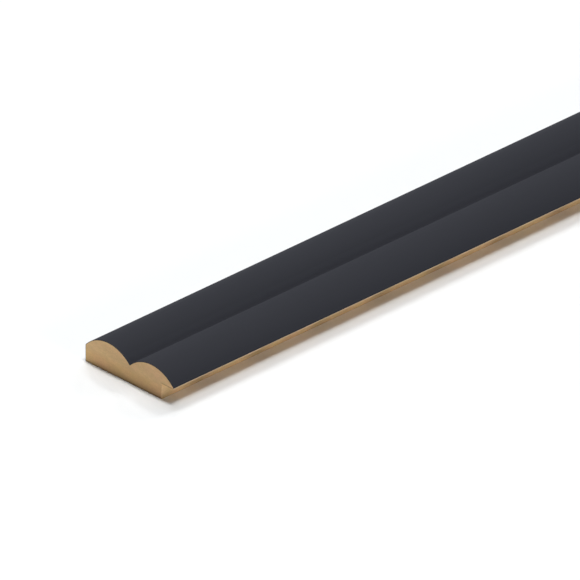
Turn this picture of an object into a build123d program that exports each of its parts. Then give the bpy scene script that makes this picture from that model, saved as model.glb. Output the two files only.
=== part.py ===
"""Wall panel end trim: a fibreboard moulding with two half-round reeds under a thin dark foil.

The trim lies on its flat back. +X runs across it, from the finished edge to the rebated edge
that laps over the tongue of the next panel. +Y runs along it and +Z is up out of the reeds.
The origin is on the back, at the middle of the width and of the length. Sizes are millimetres.
"""

import math
import os

from build123d import *

# Stock
trim_length = 2400.0
core_thickness = 15.75

# Reeds: equal arcs side by side, whose radius follows from the pitch and the rise
reed_count = 2
reed_pitch = 29.4
reed_rise = 6.35

# How far the first and the last flank run on past half a pitch
finished_run_on = 0.50
lap_run_on = 0.45

# Foil, glued over the reeds and down the finished edge
foil_thickness = 0.25

# Radius at the bottom of the groove, on the foil's visible face
groove_radius = 0.35

# Radius of the core's corner where the foil turns down the finished edge
arris_radius = 0.6

# Rebate under the last reed, and the raw lip of the core that is left above it
rebate_depth = 8.2
lip_thickness = 0.45

# Core edges and the reeds' centres, across the trim
reeds_width = reed_count * reed_pitch
trim_width = foil_thickness + finished_run_on + reeds_width + lap_run_on
finished_edge = foil_thickness - trim_width / 2
lap_edge = trim_width / 2
first_axis = finished_edge + finished_run_on + reed_pitch / 2
reed_axes = [first_axis + reed * reed_pitch for reed in range(reed_count)]

# Heights above the back
half_pitch = reed_pitch / 2
reed_radius = (half_pitch**2 + reed_rise**2) / (2 * reed_rise)
reed_centre_height = core_thickness - reed_radius
shoulder_height = reed_centre_height + math.sqrt(reed_radius**2 - (half_pitch + lap_run_on) ** 2)
rebate_height = shoulder_height - lip_thickness


def block(left, right, height):
    """Rectangle that stands on the back between two places across the trim."""
    return Pos((left + right) / 2, height / 2) * Rectangle(right - left, height)


def reeded_section(skin):
    """Section of the moulding, grown by a skin over the reeds and the finished edge."""
    left = finished_edge - skin
    circles = [Pos(axis, reed_centre_height) * Circle(reed_radius + skin) for axis in reed_axes]
    outline = Sketch() + circles + block(left, lap_edge, rebate_height)
    outline = outline & block(left, lap_edge, core_thickness + skin)

    # The corners above the rebate are the grooves, between the two corners at the edges
    corners = outline.vertices().filter_by(lambda corner: corner.Y > rebate_height).sort_by(Axis.X)
    outline = fillet(corners[1:-1], groove_radius + foil_thickness - skin)
    arris = outline.vertices().filter_by(lambda corner: corner.Y > rebate_height).sort_by(Axis.X)[0]
    return fillet(arris, arris_radius + skin)


def run_of(section):
    """Section run along the trim, half its length each way from the origin."""
    return extrude(Plane.XZ * section, amount=trim_length / 2, both=True)


def profile_core():
    """Fibreboard moulding with the rebate cut out of its lower corner."""
    rebate = block(lap_edge - rebate_depth, lap_edge, rebate_height)
    return run_of(reeded_section(0) - rebate)


def face_foil():
    """Foil of one thickness that follows the reeds and turns down the finished edge."""
    return run_of(reeded_section(foil_thickness) - reeded_section(0))


os.makedirs("parts", exist_ok=True)
export_step(profile_core(), "parts/profile_core.step")
export_step(face_foil(), "parts/face_foil.step")
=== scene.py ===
import math

import bmesh
import bpy
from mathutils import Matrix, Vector


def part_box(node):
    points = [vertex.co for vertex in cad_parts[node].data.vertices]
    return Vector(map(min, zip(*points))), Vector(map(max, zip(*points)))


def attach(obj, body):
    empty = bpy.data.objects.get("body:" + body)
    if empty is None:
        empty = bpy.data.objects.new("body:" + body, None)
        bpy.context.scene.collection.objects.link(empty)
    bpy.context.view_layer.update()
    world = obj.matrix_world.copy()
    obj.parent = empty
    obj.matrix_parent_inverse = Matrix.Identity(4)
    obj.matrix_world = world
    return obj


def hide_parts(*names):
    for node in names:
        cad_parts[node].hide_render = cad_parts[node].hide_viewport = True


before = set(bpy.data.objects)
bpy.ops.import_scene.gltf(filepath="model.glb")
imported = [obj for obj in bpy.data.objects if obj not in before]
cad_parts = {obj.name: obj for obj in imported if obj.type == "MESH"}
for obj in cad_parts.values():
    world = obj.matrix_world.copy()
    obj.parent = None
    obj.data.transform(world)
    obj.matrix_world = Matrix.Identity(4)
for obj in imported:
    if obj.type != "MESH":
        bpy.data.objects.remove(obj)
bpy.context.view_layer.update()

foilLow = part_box("face_foil")[0]
coreLow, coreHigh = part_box("profile_core")
print("frame loaded")

# The moulding's section, in metres. Its width, length and foil come from the frame.
trim = {
    "height": 0.016,  # over the crowns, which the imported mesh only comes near
    "reeds": 2,
    "pitch": 0.0294,
    "rise": 0.00635,  # crown above the sharp bottom of the groove
    "finishedRunOn": 0.0005,  # the first flank runs on past half a pitch
    "grooveRadius": 0.00035,  # on the foil's face
    "arrisRadius": 0.0006,  # core's corner at the finished edge
    "rebateDepth": 0.0082,
    "lip": 0.00045,
    "arcSteps": 32,
    "roundSteps": 5,
    "sharpAngle": 28,  # degrees between faces, from which an edge is drawn sharp
}

foilThickness = coreLow.x - foilLow.x
halfPitch = trim["pitch"] / 2
reedRadius = (halfPitch**2 + trim["rise"] ** 2) / (2 * trim["rise"])
centreHeight = trim["height"] - foilThickness - reedRadius
firstAxis = coreLow.x + trim["finishedRunOn"] + halfPitch
reedAxes = [firstAxis + reed * trim["pitch"] for reed in range(trim["reeds"])]
endY = coreLow.y
trimLength = coreHigh.y - coreLow.y
lapEdge = coreHigh.x
rebateEdge = lapEdge - trim["rebateDepth"]


def flankHeight(x, axis, skin):
    return centreHeight + math.sqrt((reedRadius + skin) ** 2 - (x - axis) ** 2)


shoulderHeight = flankHeight(lapEdge, reedAxes[-1], 0)
rebateHeight = shoulderHeight - trim["lip"]
grooves = [axis + halfPitch for axis in reedAxes[:-1]]
grooveTurn = 2 * math.asin(halfPitch / reedRadius)
arrisTurn = math.pi / 2 - math.asin((reedAxes[0] - coreLow.x) / reedRadius)


def lineTo(bm, vert, x, z):
    # a straight run of the outline, to a place across the trim and a height
    end = bmesh.ops.extrude_vert_indiv(bm, verts=[vert])["verts"][0]
    bmesh.ops.translate(bm, verts=[end], vec=(x - vert.co.x, 0, z - vert.co.z))
    return end


def reedArc(bm, vert, axis, toX, skin):
    # one reed's arc, spun about the reed's own centre
    radius = reedRadius + skin
    turn = math.asin((toX - axis) / radius) - math.asin((vert.co.x - axis) / radius)
    spun = bmesh.ops.spin(bm, geom=[vert], cent=(axis, endY, centreHeight), axis=(0, 1, 0),
                          angle=turn, steps=trim["arcSteps"], use_duplicate=False)
    return spun["geom_last"][0]


def closeAndRun(bm, first, last):
    # the outline becomes a face, and the face is run along the trim
    bmesh.ops.contextual_create(bm, geom=[last, first])
    bmesh.ops.contextual_create(bm, geom=bm.edges[:])
    run = bmesh.ops.extrude_face_region(bm, geom=bm.faces[:])
    moved = [part for part in run["geom"] if isinstance(part, bmesh.types.BMVert)]
    bmesh.ops.translate(bm, verts=moved, vec=(0, trimLength, 0))
    bmesh.ops.recalc_face_normals(bm, faces=bm.faces[:])


def roundAlong(bm, cornerX, cornerZ, offset):
    # rounds the edge that runs along the trim at a corner of the section
    reach = 0.00001
    edges = []
    for edge in bm.edges:
        start = edge.verts[0].co
        atCorner = math.hypot(start.x - cornerX, start.z - cornerZ) < reach
        if atCorner and edge.calc_length() > trimLength / 2:
            edges.append(edge)
    bmesh.ops.bevel(bm, geom=edges, offset=offset, affect="EDGES", segments=trim["roundSteps"],
                    profile=0.5, material=-1)


def roundGrooves(bm, skin):
    radius = trim["grooveRadius"] + foilThickness - skin
    for x in grooves:
        roundAlong(bm, x, flankHeight(x, x - halfPitch, skin), radius * math.tan(grooveTurn / 2))


def roundArris(bm, skin):
    x = coreLow.x - skin
    radius = trim["arrisRadius"] + skin
    roundAlong(bm, x, flankHeight(x, reedAxes[0], skin), radius * math.tan(arrisTurn / 2))


def shadeByAngle(bm, limit):
    for face in bm.faces:
        face.smooth = True
    for edge in bm.edges:
        edge.smooth = len(edge.link_faces) == 2 and edge.calc_face_angle(0) < limit


def finishPiece(bm, name, material, node):
    shadeByAngle(bm, math.radians(trim["sharpAngle"]))
    mesh = bpy.data.meshes.new(name)
    bm.to_mesh(mesh)
    bm.free()
    piece = bpy.data.objects.new(name, mesh)
    bpy.context.scene.collection.objects.link(piece)
    mesh.materials.append(material)
    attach(piece, "root")
    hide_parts(node)
    print(name, "made,", len(mesh.polygons), "faces")


def buildCore(material):
    bm = bmesh.new()
    first = bm.verts.new((coreLow.x, endY, 0))
    vert = lineTo(bm, first, coreLow.x, flankHeight(coreLow.x, reedAxes[0], 0))
    for axis in reedAxes:
        toX = lapEdge if axis == reedAxes[-1] else axis + halfPitch
        vert = reedArc(bm, vert, axis, toX, 0)
    vert = lineTo(bm, vert, lapEdge, rebateHeight)
    vert = lineTo(bm, vert, rebateEdge, rebateHeight)
    vert = lineTo(bm, vert, rebateEdge, 0)
    closeAndRun(bm, first, vert)
    roundGrooves(bm, 0)
    roundArris(bm, 0)
    finishPiece(bm, "mouldedCore", material, "profile_core")


def buildFoil(material):
    # over the reeds on its face, and back along the core
    bm = bmesh.new()
    left = foilLow.x
    first = bm.verts.new((left, endY, 0))
    vert = lineTo(bm, first, left, flankHeight(left, reedAxes[0], foilThickness))
    for axis in reedAxes:
        toX = lapEdge if axis == reedAxes[-1] else axis + halfPitch
        vert = reedArc(bm, vert, axis, toX, foilThickness)
    vert = lineTo(bm, vert, lapEdge, shoulderHeight)
    for axis in reversed(reedAxes):
        toX = coreLow.x if axis == reedAxes[0] else axis - halfPitch
        vert = reedArc(bm, vert, axis, toX, 0)
    vert = lineTo(bm, vert, coreLow.x, 0)
    closeAndRun(bm, first, vert)
    for skin in (0, foilThickness):
        roundGrooves(bm, skin)
        roundArris(bm, skin)
    finishPiece(bm, "wrappedFoil", material, "face_foil")


# Helpers for the materials' nodes
def put(tree, kind, inputs, **settings):
    # a node with its settings, and with values or links on its inputs
    made = tree.nodes.new("ShaderNode" + kind)
    for name, value in settings.items():
        setattr(made, name, value)
    for name, value in inputs.items():
        if isinstance(value, bpy.types.NodeSocket):
            tree.links.new(value, made.inputs[name])
        else:
            made.inputs[name].default_value = value
    return made


def calc(tree, operation, first, second=0.0):
    return put(tree, "Math", {0: first, 1: second}, operation=operation).outputs[0]


def fit(tree, value, low, high, toLow, toHigh):
    # value's range low to high becomes toLow to toHigh, held at its ends
    ends = {"Value": value, "From Min": low, "From Max": high, "To Min": toLow, "To Max": toHigh}
    return put(tree, "MapRange", ends).outputs["Result"]


def swing(tree, value, spread, low, high):
    # noise lies round 0.5, and this far to either side of it the tone is low or high
    return fit(tree, value, 0.5 - spread, 0.5 + spread, low, high)


def mixColors(tree, share, first, second, blend="MIX"):
    colors = [(*color, 1) if isinstance(color, tuple) else color for color in (first, second)]
    made = put(tree, "Mix", {0: share, 6: colors[0], 7: colors[1]}, data_type="RGBA", blend_type=blend)
    return made.outputs[2]


def shade(tree, color, level):
    # a colour made lighter or darker by a level round 1
    return put(tree, "VectorMath", {0: color, "Scale": level}, operation="SCALE").outputs[0]


def darken(tree, color, loss):
    return shade(tree, color, calc(tree, "SUBTRACT", 1.0, loss))


def stretched(tree, coords, along=1, up=1):
    # below 1 a pattern is drawn out along or up the trim, and above 1 it is squeezed
    return put(tree, "Mapping", {"Vector": coords, "Scale": (1, along, up)}).outputs["Vector"]


def noise(tree, coords, size, detail, roughness=0.5):
    inputs = {"Vector": coords, "Scale": 1 / size, "Detail": detail, "Roughness": roughness}
    return put(tree, "TexNoise", inputs).outputs["Fac"]


def newMaterial(name):
    material = bpy.data.materials.new(name)
    material.use_nodes = True
    tree = material.node_tree
    return material, tree, tree.nodes["Principled BSDF"]


fibreboard = {
    "sawnColor": (0.68, 0.458, 0.24),
    "milledColor": (0.67, 0.479, 0.262),
    "sandedColor": (0.62, 0.45, 0.28),  # the back
    "roofColor": (0.74, 0.498, 0.275),  # underside of the last reed, over the rebate
    "lipColor": (0.56, 0.42, 0.275),  # narrow raw edge above the rebate
    "wallPaintedLight": 1.2,  # painted light: the rebate's wall is made paler towards its top
    "wallPaintedLightFrom": 0.0035,
    "wallPaintedLightShort": 0.0005,  # palest this far below the rebate's roof

    "sawnFacing": (0.4, 0.7),  # a face is told by the way that it faces, and by its height
    "downFacing": (-0.95, -0.6),
    "sideFacing": (0.8, 0.9),
    "backHeight": (0.001, 0.002),
    "roofHeight": (0.006, 0.007),
    "seam": 0.0001,  # one tone passes into the next within this

    "fibreSize": 0.00045,
    "fibreFlatness": 3.0,  # fibres lie flat in the board, so they are thin across it
    "fibreTone": (0.84, 1.13),
    "flockSize": 0.0022,
    "flockTone": (0.96, 1.04),
    "mottleSize": 0.011,
    "oliveTint": (0.97, 1.0, 0.95),
    "roseTint": (1.03, 0.99, 1.03),
    "sliverSize": 0.0011,
    "sliverFlatness": 5.0,
    "sliverLimits": (0.70, 0.76),  # only the noise's peaks are slivers
    "sliverShare": 0.5,
    "sliverColor": (0.30, 0.17, 0.08),

    "feedPitch": 0.0393,  # the cutter's feed leaves the milled faces darker at every turn
    "feedPlace": 0.024,  # the first dark turn's distance from the near end
    "feedTone": 0.105,
    "feedOvertone": 0.75,  # makes the dark turns narrower than the pale ones
    "patchSize": 0.012,  # and a little uneven between
    "patchStretch": 0.6,
    "patchTone": (0.94, 1.06),

    "skin": 0.0075,  # outer layer that gets denser and darker towards the back; on a sawn end its darkening is partly painted shade near the floor
    "skinAndShadeTone": 0.57,
    "skinAndShadeTint": (1.0, 0.94, 0.88),
    "skinAndShadeTintHeight": (0.0055, 0.0085),
    "paintedLightEdgeWidth": 0.010,  # painted light: the skin's tone and painted shade fade within this of the finished edge
    "paintedLightEdgeShare": 0.3,
    "paintedFootShade": 0.24,  # painted shade: dark line at the foot of a sawn end, where it meets the floor
    "paintedFootShadeHeight": (0.0004, 0.0013),
    "roofEdgeLine": 0.45,  # dark line over the rebate on a sawn end
    "roofEdgeLineWidth": 0.0006,
    "paintedLightTone": 1.14,  # painted light: sawn end's tone beside the finished edge
    "paintedLightWidth": 0.030,
    "wallEndShade": 0.33,  # painted shade low on the rebate's wall beside a sawn end
    "wallEndShadeWidth": 0.009,
    "wallEndShadeHeight": (0.001, 0.0034),

    "sawCentre": (-0.05, 0, -0.15),
    "sawPitch": 0.0069115,
    "sawWobble": 1.5,
    "cutterLine": 0.0006,
    "cutterStretch": 0.02,
    "toolTone": (0.975, 1.02),

    "roughness": (0.80, 0.94),
    "specular": 0.15,
    "fibreRelief": 0.7,
    "toolRelief": 0.3,
    "reliefStrength": 0.35,
    "reliefDepth": 0.00008,
}


def fibreboardMaterial():
    material, tree, shader = newMaterial("rawFibreboard")
    coords = put(tree, "TexCoord", {}).outputs["Object"]
    place = put(tree, "SeparateXYZ", {0: coords}).outputs
    facing = put(tree, "SeparateXYZ", {0: put(tree, "NewGeometry", {}).outputs["Normal"]}).outputs

    # masks: the sawn ends, the sanded back, the rebate's roof and the lip above it
    sawn = fit(tree, calc(tree, "ABSOLUTE", facing["Y"]), *fibreboard["sawnFacing"], 0, 1)
    down = fit(tree, facing["Z"], *fibreboard["downFacing"], 1, 0)
    sanded = calc(tree, "MULTIPLY", down, fit(tree, place["Z"], *fibreboard["backHeight"], 1, 0))
    roof = calc(tree, "MULTIPLY", down, fit(tree, place["Z"], *fibreboard["roofHeight"], 0, 1))
    lip = calc(tree, "MULTIPLY", fit(tree, facing["X"], *fibreboard["sideFacing"], 0, 1),
               fit(tree, place["Z"], rebateHeight - fibreboard["seam"], rebateHeight, 0, 1))
    # painted light: milled faces are made paler from low on the rebate's wall up to its roof
    rise = fit(tree, place["Z"], fibreboard["wallPaintedLightFrom"], rebateHeight - fibreboard["wallPaintedLightShort"],
               1.0, fibreboard["wallPaintedLight"])
    milled = shade(tree, fibreboard["milledColor"], rise)
    color = mixColors(tree, sawn, milled, fibreboard["sawnColor"])
    color = mixColors(tree, sanded, color, fibreboard["sandedColor"])
    color = mixColors(tree, roof, color, fibreboard["roofColor"])
    color = mixColors(tree, lip, color, fibreboard["lipColor"])

    # fibres, flocks of them, and slow patches of tint
    flat = stretched(tree, coords, up=fibreboard["fibreFlatness"])
    fibres = noise(tree, flat, fibreboard["fibreSize"], detail=3, roughness=0.65)
    flocks = noise(tree, flat, fibreboard["flockSize"], detail=2)
    mottle = noise(tree, coords, fibreboard["mottleSize"], detail=3)
    color = mixColors(tree, swing(tree, mottle, 0.15, 0, 1),
                      mixColors(tree, 1, color, fibreboard["oliveTint"], "MULTIPLY"),
                      mixColors(tree, 1, color, fibreboard["roseTint"], "MULTIPLY"))
    color = shade(tree, color, swing(tree, fibres, 0.25, *fibreboard["fibreTone"]))
    color = shade(tree, color, swing(tree, flocks, 0.2, *fibreboard["flockTone"]))

    # the cutter leaves the milled faces paler and darker by turns along the trim
    along = calc(tree, "SUBTRACT", place["Y"], endY + fibreboard["feedPlace"])
    turn = calc(tree, "MULTIPLY", along, 2 * math.pi / fibreboard["feedPitch"])
    overtone = calc(tree, "COSINE", calc(tree, "MULTIPLY", turn, 2.0))
    overtone = calc(tree, "MULTIPLY", overtone, fibreboard["feedOvertone"])
    turns = calc(tree, "ADD", calc(tree, "COSINE", turn), overtone)
    feed = calc(tree, "SUBTRACT", 1.0, calc(tree, "MULTIPLY", turns, fibreboard["feedTone"]))
    uneven = stretched(tree, coords, along=fibreboard["patchStretch"])
    uneven = noise(tree, uneven, fibreboard["patchSize"], detail=2)
    patches = swing(tree, uneven, 0.15, *fibreboard["patchTone"])
    marked = shade(tree, color, calc(tree, "MULTIPLY", feed, patches))
    color = mixColors(tree, calc(tree, "MAXIMUM", sawn, sanded), marked, color)

    # scattered dark slivers of bark
    slivers = stretched(tree, coords, up=fibreboard["sliverFlatness"])
    slivers = noise(tree, slivers, fibreboard["sliverSize"], detail=1)
    slivers = fit(tree, slivers, *fibreboard["sliverLimits"], 0, fibreboard["sliverShare"])
    color = mixColors(tree, slivers, color, fibreboard["sliverColor"])

    # a sawn end is darker and browner towards the back, partly from the board's denser skin and partly
    # painted shade where it meets the floor, and less so by the finished edge, where painted light
    # stands in for light from the left
    fromEdge = calc(tree, "SUBTRACT", place["X"], foilLow.x)
    skinAndShadeShare = fit(tree, fromEdge, 0, fibreboard["paintedLightEdgeWidth"], fibreboard["paintedLightEdgeShare"], 1)
    skinAndShadeShare = calc(tree, "MULTIPLY", sawn, skinAndShadeShare)
    depth = calc(tree, "POWER", fit(tree, place["Z"], 0, fibreboard["skin"], 1, 0), 2.0)
    dark = calc(tree, "MULTIPLY", depth, calc(tree, "MULTIPLY", skinAndShadeShare, fibreboard["skinAndShadeTone"]))
    color = darken(tree, color, dark)
    browner = calc(tree, "MULTIPLY", sawn, fit(tree, place["Z"], *fibreboard["skinAndShadeTintHeight"], 1, 0))
    color = mixColors(tree, browner, color, fibreboard["skinAndShadeTint"], "MULTIPLY")

    # painted shade: a dark line at the foot of a sawn end, where it meets the floor
    foot = fit(tree, place["Z"], *fibreboard["paintedFootShadeHeight"], fibreboard["paintedFootShade"], 0)
    color = darken(tree, color, calc(tree, "MULTIPLY", foot, sawn))

    # painted light: it is made paler towards the finished edge; and it is darker in a line along the
    # rebate's roof
    paintedLight = fit(tree, fromEdge, 0, fibreboard["paintedLightWidth"], fibreboard["paintedLightTone"], 1.0)
    fromRoof = calc(tree, "ABSOLUTE", calc(tree, "SUBTRACT", place["Z"], rebateHeight))
    roofEdgeLine = fit(tree, fromRoof, fibreboard["seam"], fibreboard["roofEdgeLineWidth"], fibreboard["roofEdgeLine"], 0)
    overRebate = fit(tree, place["X"], rebateEdge - fibreboard["seam"], rebateEdge + fibreboard["seam"],
                     0, 1)
    roofEdgeLine = calc(tree, "MULTIPLY", roofEdgeLine, overRebate)
    endTone = calc(tree, "MULTIPLY", paintedLight, calc(tree, "SUBTRACT", 1.0, roofEdgeLine))
    color = mixColors(tree, sawn, color, shade(tree, color, endTone))

    # painted shade: low on the rebate's wall beside a sawn end it is made darker
    fromEnd = calc(tree, "SUBTRACT", -endY, calc(tree, "ABSOLUTE", place["Y"]))
    wallEndShade = fit(tree, fromEnd, 0, fibreboard["wallEndShadeWidth"], fibreboard["wallEndShade"], 0)
    wallEndShade = calc(tree, "MULTIPLY", wallEndShade, fit(tree, place["Z"], *fibreboard["wallEndShadeHeight"], 1, 0))
    color = mixColors(tree, sawn, darken(tree, color, wallEndShade), color)

    # marks of the tools: the saw's arcs across the end, the cutter's lines along the trim
    wavePitch = math.pi / 10  # a Wave Texture's own, at a scale of 1
    arcs = put(tree, "Mapping", {"Vector": coords, "Location": -Vector(fibreboard["sawCentre"])})
    teeth = put(tree, "TexWave",
                {"Vector": arcs.outputs["Vector"], "Scale": wavePitch / fibreboard["sawPitch"],
                 "Distortion": fibreboard["sawWobble"], "Detail": 2, "Detail Scale": 3},
                wave_type="RINGS", rings_direction="Y").outputs["Fac"]
    lines = stretched(tree, coords, along=fibreboard["cutterStretch"])
    lines = noise(tree, lines, fibreboard["cutterLine"], detail=2)
    tooling = calc(tree, "ADD", calc(tree, "MULTIPLY", teeth, sawn),
                   calc(tree, "MULTIPLY", lines, calc(tree, "SUBTRACT", 1.0, sawn)))
    color = shade(tree, color, swing(tree, tooling, 0.3, *fibreboard["toolTone"]))
    tree.links.new(color, shader.inputs["Base Color"])

    rough = swing(tree, fibres, 0.2, *fibreboard["roughness"])
    tree.links.new(rough, shader.inputs["Roughness"])
    shader.inputs["Specular IOR Level"].default_value = fibreboard["specular"]
    relief = calc(tree, "ADD", calc(tree, "MULTIPLY", fibres, fibreboard["fibreRelief"]),
                  calc(tree, "MULTIPLY", tooling, fibreboard["toolRelief"]))
    bump = put(tree, "Bump", {"Height": relief, "Strength": fibreboard["reliefStrength"],
                              "Distance": fibreboard["reliefDepth"]})
    tree.links.new(bump.outputs["Normal"], shader.inputs["Normal"])
    return material


foil = {
    "color": (0.0293, 0.0306, 0.0373),
    "cutColor": (0.0306, 0.0295, 0.0295),  # its edge on a sawn end
    "cutFacing": (0.5, 0.8),

    "grainSize": 0.00028,
    "grainTone": (0.965, 1.035),
    "streakSize": 0.0007,
    "streakStretch": 0.012,
    "streakTone": (0.98, 1.02),
    "cloudSize": 0.045,
    "cloudStretch": 0.3,
    "cloudTone": (0.985, 1.015),
    "grooveLightWidth": 0.0045,  # painted light on the flank beside the groove
    "grooveLightTone": 1.42,

    "scuffColor": (0.085, 0.08, 0.078),
    "scuffWidth": 0.0006,
    "chipSize": 0.0004,
    "chipLimits": (0.5, 0.62),
    "chipShare": 0.5,

    "roughness": (0.67, 0.78),
    "scuffRoughness": 0.2,  # more than the foil's own
    "specular": 0.02,
    "reliefStrength": 0.25,
    "reliefDepth": 0.00002,
}


def foilMaterial():
    material, tree, shader = newMaterial("darkFoil")
    coords = put(tree, "TexCoord", {}).outputs["Object"]
    place = put(tree, "SeparateXYZ", {0: coords}).outputs
    facing = put(tree, "SeparateXYZ", {0: put(tree, "NewGeometry", {}).outputs["Normal"]}).outputs
    cut = fit(tree, calc(tree, "ABSOLUTE", facing["Y"]), *foil["cutFacing"], 0, 1)

    # embossed grain, faint lines drawn along by the laminating rollers, and slow clouds
    grain = noise(tree, coords, foil["grainSize"], detail=2, roughness=0.6)
    streaks = stretched(tree, coords, along=foil["streakStretch"])
    streaks = noise(tree, streaks, foil["streakSize"], detail=3, roughness=0.6)
    clouds = stretched(tree, coords, along=foil["cloudStretch"])
    clouds = noise(tree, clouds, foil["cloudSize"], detail=2)
    color = mixColors(tree, cut, foil["color"], foil["cutColor"])
    color = shade(tree, color, swing(tree, grain, 0.2, *foil["grainTone"]))
    color = shade(tree, color, swing(tree, streaks, 0.2, *foil["streakTone"]))
    color = shade(tree, color, swing(tree, clouds, 0.15, *foil["cloudTone"]))

    # painted light: the foil is made paler on the flank beside the groove
    for groove in grooves:
        fromGroove = calc(tree, "SUBTRACT", groove, place["X"])
        grooveLight = calc(tree, "MULTIPLY", fit(tree, fromGroove, 0, foil["grooveLightWidth"], 1, 0),
                     fit(tree, fromGroove, -trim["grooveRadius"], 0, 0, 1))
        color = shade(tree, color, fit(tree, grooveLight, 0, 1, 1, foil["grooveLightTone"]))

    # the saw leaves the foil's last tenths of a millimetre a little scuffed
    fromEnd = calc(tree, "SUBTRACT", -endY, calc(tree, "ABSOLUTE", place["Y"]))
    chips = noise(tree, coords, foil["chipSize"], detail=2)
    chips = fit(tree, chips, *foil["chipLimits"], 0, foil["chipShare"])
    scuffed = calc(tree, "MULTIPLY", fit(tree, fromEnd, 0, foil["scuffWidth"], 1, 0), chips)
    color = mixColors(tree, scuffed, color, foil["scuffColor"])
    tree.links.new(color, shader.inputs["Base Color"])

    rough = swing(tree, streaks, 0.2, *foil["roughness"])
    rough = calc(tree, "ADD", rough, calc(tree, "MULTIPLY", scuffed, foil["scuffRoughness"]))
    tree.links.new(rough, shader.inputs["Roughness"])
    shader.inputs["Specular IOR Level"].default_value = foil["specular"]
    bump = put(tree, "Bump", {"Height": grain, "Strength": foil["reliefStrength"],
                              "Distance": foil["reliefDepth"]})
    tree.links.new(bump.outputs["Normal"], shader.inputs["Normal"])
    return material


buildCore(fibreboardMaterial())
buildFoil(foilMaterial())
print("trim finished")

# Camera: a parallel projection, turned and tilted as in the photograph
view = {
    "azimuth": 46.05,
    "elevation": 29.1,
    "side": 580,  # pixels on a side of the picture
    "pixelsPerMetre": 2112.3,
    "cornerPixel": (85.07, 360.35),  # lower left corner of the near end
    "distance": 3.0,
    "reach": 20,
}
turn = math.radians(view["azimuth"])
tilt = math.radians(view["elevation"])
back = Vector((math.sin(turn) * math.cos(tilt), -math.cos(turn) * math.cos(tilt), math.sin(tilt)))
right = Vector((math.cos(turn), math.sin(turn), 0))
up = back.cross(right)
middle = (view["side"] - 1) / 2
cornerX, cornerY = view["cornerPixel"]
nearCorner = Vector((foilLow.x, endY, 0))
target = nearCorner + (right * (middle - cornerX) + up * (cornerY - middle)) / view["pixelsPerMetre"]
cameraData = bpy.data.cameras.new("camera")
cameraData.type = "ORTHO"
cameraData.ortho_scale = view["side"] / view["pixelsPerMetre"]
cameraData.clip_end = view["reach"]
camera = bpy.data.objects.new("camera", cameraData)
camera.location = target + back * view["distance"]
camera.rotation_mode = "QUATERNION"
camera.rotation_quaternion = back.to_track_quat("Z", "Y")
bpy.context.scene.collection.objects.link(camera)
bpy.context.scene.camera = camera

# Floor, which is pale grey and shows white where no shadow falls
ground = {
    "size": 30,
    "color": (0.845, 0.860, 0.867),
    "patchSize": 0.25,
    "patchTone": (0.995, 1.005),
}


def floorMaterial():
    material, tree, shader = newMaterial("paleFloor")
    coords = put(tree, "TexCoord", {}).outputs["Object"]
    patches = noise(tree, coords, ground["patchSize"], detail=2)
    color = shade(tree, ground["color"], swing(tree, patches, 0.2, *ground["patchTone"]))
    tree.links.new(color, shader.inputs["Base Color"])
    shader.inputs["Roughness"].default_value = 1
    shader.inputs["Specular IOR Level"].default_value = 0
    return material


bm = bmesh.new()
bmesh.ops.create_grid(bm, x_segments=1, y_segments=1, size=ground["size"])
floorMesh = bpy.data.meshes.new("floor")
bm.to_mesh(floorMesh)
bm.free()
floorMesh.materials.append(floorMaterial())
floor = bpy.data.objects.new("floor", floorMesh)
bpy.context.scene.collection.objects.link(floor)

# World: white where it is seen or mirrored, and it lights nothing
world = bpy.data.worlds.new("studio")
world.use_nodes = True
tree = world.node_tree
path = put(tree, "LightPath", {}).outputs
mirrored = calc(tree, "MAXIMUM", path["Is Glossy Ray"], path["Is Transmission Ray"])
seen = calc(tree, "MAXIMUM", path["Is Camera Ray"], mirrored)
tree.links.new(seen, tree.nodes["Background"].inputs["Strength"])
tree.nodes["Background"].inputs["Color"].default_value = (1, 1, 1, 1)
bpy.context.scene.world = world

# Lamps: the way towards each, its level on the floor, where white is 1, and its width in degrees
lamps = {
    "overhead1": ((-0.06, 0.07, 1), 0.132, 12),  # a long soft lamp, which lies across the trim
    "overhead2": ((0.08, 0.07, 1), 0.116, 12),
    "overhead3": ((0.20, 0.07, 1), 0.286, 12),
    "overhead4": ((0.34, 0.07, 1), 0.106, 12),
    "side1": ((-0.70, 0.19, 1), 0.138, 10),  # a wide one from the left and round behind
    "side2": ((-0.60, 0.42, 1), 0.081, 10),
    "side3": ((-0.48, 0.84, 1), 0.089, 10),
    "side4": ((-0.98, 0.82, 1), 0.105, 10),
    "side5": ((-0.45, 1.67, 1), 0.090, 10),
    "lowRight": ((3.8, 0, 1), 0.060, 12),  # weak ones low down
    "lowLeft": ((-7, -7, 1), 0.018, 12),
}


def addSun(name, toLight, level, width):
    data = bpy.data.lights.new(name, "SUN")
    way = Vector(toLight).normalized()
    data.energy = level * math.pi / way.z
    data.angle = math.radians(width)
    lamp = bpy.data.objects.new(name, data)
    lamp.rotation_mode = "QUATERNION"
    lamp.rotation_quaternion = way.to_track_quat("Z", "Y")
    bpy.context.scene.collection.objects.link(lamp)


for name, (toLight, level, width) in lamps.items():
    addSun(name, toLight, level, width)
bpy.context.scene.view_settings.view_transform = "Standard"
print("stage lit")
